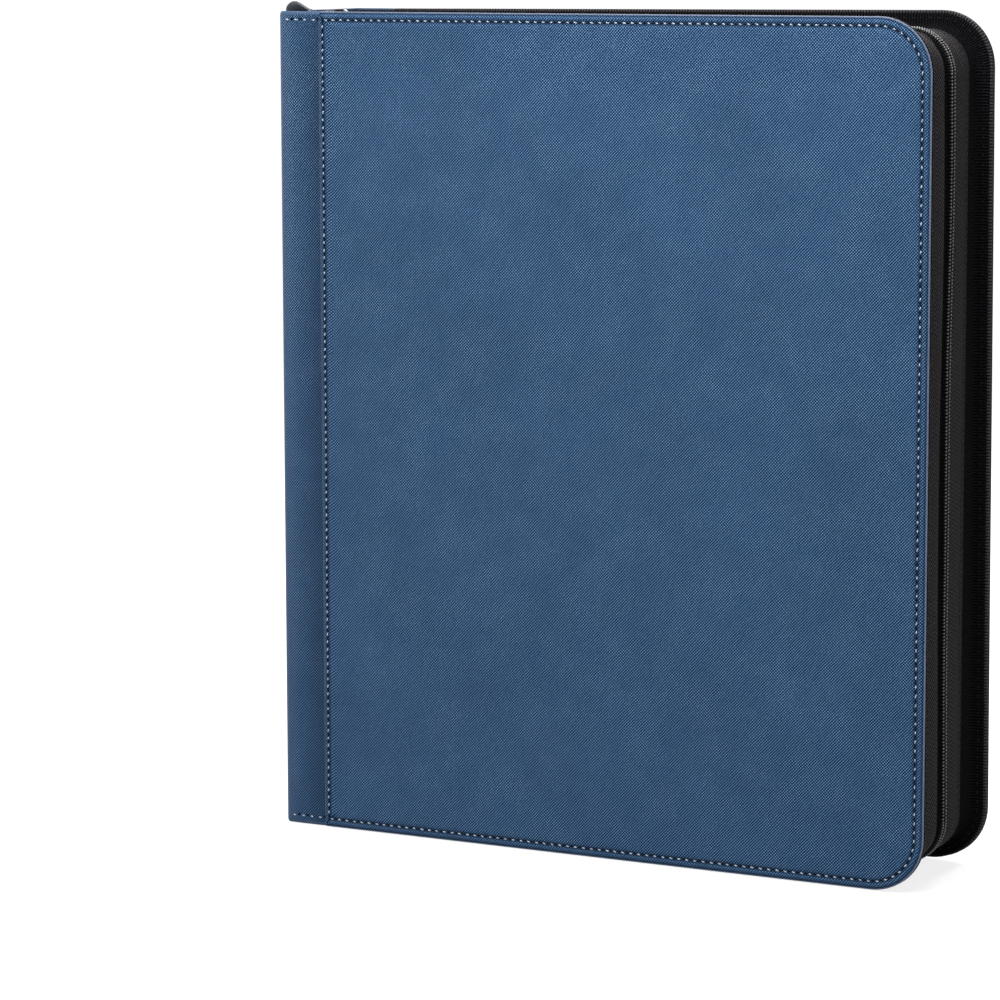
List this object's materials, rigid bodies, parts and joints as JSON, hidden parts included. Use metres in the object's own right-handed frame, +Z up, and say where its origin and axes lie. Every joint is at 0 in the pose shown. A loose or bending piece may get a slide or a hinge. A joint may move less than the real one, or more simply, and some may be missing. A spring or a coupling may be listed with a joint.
{
  "type": "trading card binder",
  "caption": "Zip-round card album with leather-look covers, webbing walls, coil zip with sliding pull, and hinged pocket leaves holding sleeved cards.",
  "frame": {"origin": "under the middle of the closed binder, at the level of its lower edge", "axes": "+X from the spine to the fore-edge, +Y from the front cover to the back cover, +Z up along the spine"},
  "size_m": [0.315, 0.0716, 0.3753],
  "materials": {
    "cover_leather": "blue synthetic leather with a fine woven emboss, satin",
    "board": "grey-brown chipboard",
    "lining_cloth": "black lining cloth, matte",
    "webbing": "black ribbed webbing",
    "zip_tape": "black herringbone zip tape",
    "zip_coil": "black nylon coil, satin",
    "binding_cloth": "black binding cloth, stitched",
    "black_metal": "black enamel, semi-gloss",
    "pull_rubber": "dark blue-grey moulded rubber",
    "page_film": "dark grey grained film",
    "pocket_film": "clear film",
    "sleeve_vinyl": "clear stiff vinyl with a faint lavender tint",
    "card_print": "printed card, satin"
  },
  "bodies": {
    "spine": {"spine_skin": "cover_leather", "spine_board": "board", "spine_lining": "lining_cloth", "binding_strip": "binding_cloth", "top_end_wall": "webbing", "bottom_end_wall": "webbing", "spine_end_tapes": "zip_tape", "spine_end_coils": "zip_coil", "zip_bottom_stop": "black_metal"},
    "front_cover": {"front_cover_skin": "cover_leather", "front_cover_board": "board", "front_cover_lining": "lining_cloth", "front_hinge_flap": "cover_leather", "front_wall_webbing": "webbing", "front_zip_tape": "zip_tape", "front_zip_coil": "zip_coil"},
    "back_cover": {"back_cover_skin": "cover_leather", "back_cover_board": "board", "back_cover_lining": "lining_cloth", "back_hinge_flap": "cover_leather", "back_wall_webbing": "webbing", "back_zip_tape": "zip_tape", "back_zip_coil": "zip_coil"},
    "slider": {"slider_body": "black_metal", "slider_bail": "black_metal"},
    "pull_link": {"pull_link": "black_metal"},
    "pull_tab": {"pull_tab": "pull_rubber"},
    "gutter_01": {"leaf_01_gutter": "page_film"},
    "page_01": {"leaf_01_page": "page_film"},
    "gutter_02": {"leaf_02_gutter": "page_film"},
    "page_02": {"leaf_02_page": "page_film"},
    "gutter_03": {"leaf_03_gutter": "page_film"},
    "page_03": {"leaf_03_page": "page_film"},
    "gutter_04": {"leaf_04_gutter": "page_film"},
    "page_04": {"leaf_04_page": "page_film"},
    "gutter_05": {"leaf_05_gutter": "page_film"},
    "page_05": {"leaf_05_page": "page_film"},
    "gutter_06": {"leaf_06_gutter": "page_film"},
    "page_06": {"leaf_06_page": "page_film", "leaf_06_pockets": "pocket_film", "leaf_06_sleeves": "sleeve_vinyl", "leaf_06_cards": "card_print"},
    "gutter_12": {"leaf_12_gutter": "page_film"},
    "page_12": {"leaf_12_page": "page_film"},
    "gutter_11": {"leaf_11_gutter": "page_film"},
    "page_11": {"leaf_11_page": "page_film"},
    "gutter_10": {"leaf_10_gutter": "page_film"},
    "page_10": {"leaf_10_page": "page_film"},
    "gutter_09": {"leaf_09_gutter": "page_film"},
    "page_09": {"leaf_09_page": "page_film"},
    "gutter_08": {"leaf_08_gutter": "page_film"},
    "page_08": {"leaf_08_page": "page_film"},
    "gutter_07": {"leaf_07_gutter": "page_film"},
    "page_07": {"leaf_07_page": "page_film", "leaf_07_pockets": "pocket_film", "leaf_07_sleeves": "sleeve_vinyl", "leaf_07_cards": "card_print"}
  },
  "joints": [
    {"name": "front_cover_hinge", "type": "hinge", "parent": "spine", "child": "front_cover", "pos_m": [-0.1555, -0.03295, 0.185], "axis": [0, 0, -1], "range_deg": [0, 90]},
    {"name": "back_cover_hinge", "type": "hinge", "parent": "spine", "child": "back_cover", "pos_m": [-0.1555, 0.03295, 0.185], "axis": [0, 0, 1], "range_deg": [0, 90]},
    {"name": "zip_slide", "type": "slide", "parent": "spine", "child": "slider", "axis": [-1, 0, 0], "range_m": [-0.23, 0]},
    {"name": "link_hinge", "type": "hinge", "parent": "slider", "child": "pull_link", "pos_m": [-0.1459, 0, 0.36845], "axis": [0, 1, 0], "range_deg": [0, 90]},
    {"name": "tab_hinge", "type": "hinge", "parent": "pull_link", "child": "pull_tab", "pos_m": [-0.1487, -0.0035, 0.36845], "axis": [-1, 0, 0], "range_deg": [0, 80]},
    {"name": "root_01", "type": "hinge", "parent": "spine", "child": "gutter_01", "pos_m": [-0.1518, -0.0275, 0.185], "axis": [0, 0, -1], "range_deg": [0, 85.48]},
    {"name": "knee_01", "type": "hinge", "parent": "gutter_01", "child": "page_01", "pos_m": [-0.1138, -0.0275, 0.185], "axis": [0, 0, -1], "range_deg": [0, 4.54]},
    {"name": "root_02", "type": "hinge", "parent": "spine", "child": "gutter_02", "pos_m": [-0.1518, -0.0225, 0.185], "axis": [0, 0, -1], "range_deg": [0, 77.86]},
    {"name": "knee_02", "type": "hinge", "parent": "gutter_02", "child": "page_02", "pos_m": [-0.1138, -0.0225, 0.185], "axis": [0, 0, -1], "range_deg": [0, 12.16]},
    {"name": "root_03", "type": "hinge", "parent": "spine", "child": "gutter_03", "pos_m": [-0.1518, -0.0175, 0.185], "axis": [0, 0, -1], "range_deg": [0, 70]},
    {"name": "knee_03", "type": "hinge", "parent": "gutter_03", "child": "page_03", "pos_m": [-0.1138, -0.0175, 0.185], "axis": [0, 0, -1], "range_deg": [0, 20.02]},
    {"name": "root_04", "type": "hinge", "parent": "spine", "child": "gutter_04", "pos_m": [-0.1518, -0.0125, 0.185], "axis": [0, 0, -1], "range_deg": [0, 61.73]},
    {"name": "knee_04", "type": "hinge", "parent": "gutter_04", "child": "page_04", "pos_m": [-0.1138, -0.0125, 0.185], "axis": [0, 0, -1], "range_deg": [0, 28.29]},
    {"name": "root_05", "type": "hinge", "parent": "spine", "child": "gutter_05", "pos_m": [-0.1518, -0.0075, 0.185], "axis": [0, 0, -1], "range_deg": [0, 52.76]},
    {"name": "knee_05", "type": "hinge", "parent": "gutter_05", "child": "page_05", "pos_m": [-0.1138, -0.0075, 0.185], "axis": [0, 0, -1], "range_deg": [0, 37.26]},
    {"name": "root_06", "type": "hinge", "parent": "spine", "child": "gutter_06", "pos_m": [-0.1518, -0.0025, 0.185], "axis": [0, 0, -1], "range_deg": [0, 42.54]},
    {"name": "knee_06", "type": "hinge", "parent": "gutter_06", "child": "page_06", "pos_m": [-0.1138, -0.0025, 0.185], "axis": [0, 0, -1], "range_deg": [0, 47.48]},
    {"name": "root_12", "type": "hinge", "parent": "spine", "child": "gutter_12", "pos_m": [-0.1518, 0.0275, 0.185], "axis": [0, 0, 1], "range_deg": [0, 85.48]},
    {"name": "knee_12", "type": "hinge", "parent": "gutter_12", "child": "page_12", "pos_m": [-0.1138, 0.0275, 0.185], "axis": [0, 0, 1], "range_deg": [0, 4.54]},
    {"name": "root_11", "type": "hinge", "parent": "spine", "child": "gutter_11", "pos_m": [-0.1518, 0.0225, 0.185], "axis": [0, 0, 1], "range_deg": [0, 77.86]},
    {"name": "knee_11", "type": "hinge", "parent": "gutter_11", "child": "page_11", "pos_m": [-0.1138, 0.0225, 0.185], "axis": [0, 0, 1], "range_deg": [0, 12.16]},
    {"name": "root_10", "type": "hinge", "parent": "spine", "child": "gutter_10", "pos_m": [-0.1518, 0.0175, 0.185], "axis": [0, 0, 1], "range_deg": [0, 70]},
    {"name": "knee_10", "type": "hinge", "parent": "gutter_10", "child": "page_10", "pos_m": [-0.1138, 0.0175, 0.185], "axis": [0, 0, 1], "range_deg": [0, 20.02]},
    {"name": "root_09", "type": "hinge", "parent": "spine", "child": "gutter_09", "pos_m": [-0.1518, 0.0125, 0.185], "axis": [0, 0, 1], "range_deg": [0, 61.73]},
    {"name": "knee_09", "type": "hinge", "parent": "gutter_09", "child": "page_09", "pos_m": [-0.1138, 0.0125, 0.185], "axis": [0, 0, 1], "range_deg": [0, 28.29]},
    {"name": "root_08", "type": "hinge", "parent": "spine", "child": "gutter_08", "pos_m": [-0.1518, 0.0075, 0.185], "axis": [0, 0, 1], "range_deg": [0, 52.76]},
    {"name": "knee_08", "type": "hinge", "parent": "gutter_08", "child": "page_08", "pos_m": [-0.1138, 0.0075, 0.185], "axis": [0, 0, 1], "range_deg": [0, 37.26]},
    {"name": "root_07", "type": "hinge", "parent": "spine", "child": "gutter_07", "pos_m": [-0.1518, 0.0025, 0.185], "axis": [0, 0, 1], "range_deg": [0, 42.54]},
    {"name": "knee_07", "type": "hinge", "parent": "gutter_07", "child": "page_07", "pos_m": [-0.1138, 0.0025, 0.185], "axis": [0, 0, 1], "range_deg": [0, 47.48]}
  ],
  "couplings": [
    {"joint": "root_01", "follows": "front_cover_hinge", "ratio": 0.9497},
    {"joint": "knee_01", "follows": "front_cover_hinge", "ratio": 0.0503},
    {"joint": "root_02", "follows": "front_cover_hinge", "ratio": 0.865},
    {"joint": "knee_02", "follows": "front_cover_hinge", "ratio": 0.135},
    {"joint": "root_03", "follows": "front_cover_hinge", "ratio": 0.7777},
    {"joint": "knee_03", "follows": "front_cover_hinge", "ratio": 0.2223},
    {"joint": "root_04", "follows": "front_cover_hinge", "ratio": 0.6858},
    {"joint": "knee_04", "follows": "front_cover_hinge", "ratio": 0.3142},
    {"joint": "root_05", "follows": "front_cover_hinge", "ratio": 0.5861},
    {"joint": "knee_05", "follows": "front_cover_hinge", "ratio": 0.4139},
    {"joint": "root_06", "follows": "front_cover_hinge", "ratio": 0.4726},
    {"joint": "knee_06", "follows": "front_cover_hinge", "ratio": 0.5274},
    {"joint": "root_12", "follows": "back_cover_hinge", "ratio": 0.9497},
    {"joint": "knee_12", "follows": "back_cover_hinge", "ratio": 0.0503},
    {"joint": "root_11", "follows": "back_cover_hinge", "ratio": 0.865},
    {"joint": "knee_11", "follows": "back_cover_hinge", "ratio": 0.135},
    {"joint": "root_10", "follows": "back_cover_hinge", "ratio": 0.7777},
    {"joint": "knee_10", "follows": "back_cover_hinge", "ratio": 0.2223},
    {"joint": "root_09", "follows": "back_cover_hinge", "ratio": 0.6858},
    {"joint": "knee_09", "follows": "back_cover_hinge", "ratio": 0.3142},
    {"joint": "root_08", "follows": "back_cover_hinge", "ratio": 0.5861},
    {"joint": "knee_08", "follows": "back_cover_hinge", "ratio": 0.4139},
    {"joint": "root_07", "follows": "back_cover_hinge", "ratio": 0.4726},
    {"joint": "knee_07", "follows": "back_cover_hinge", "ratio": 0.5274}
  ]
}
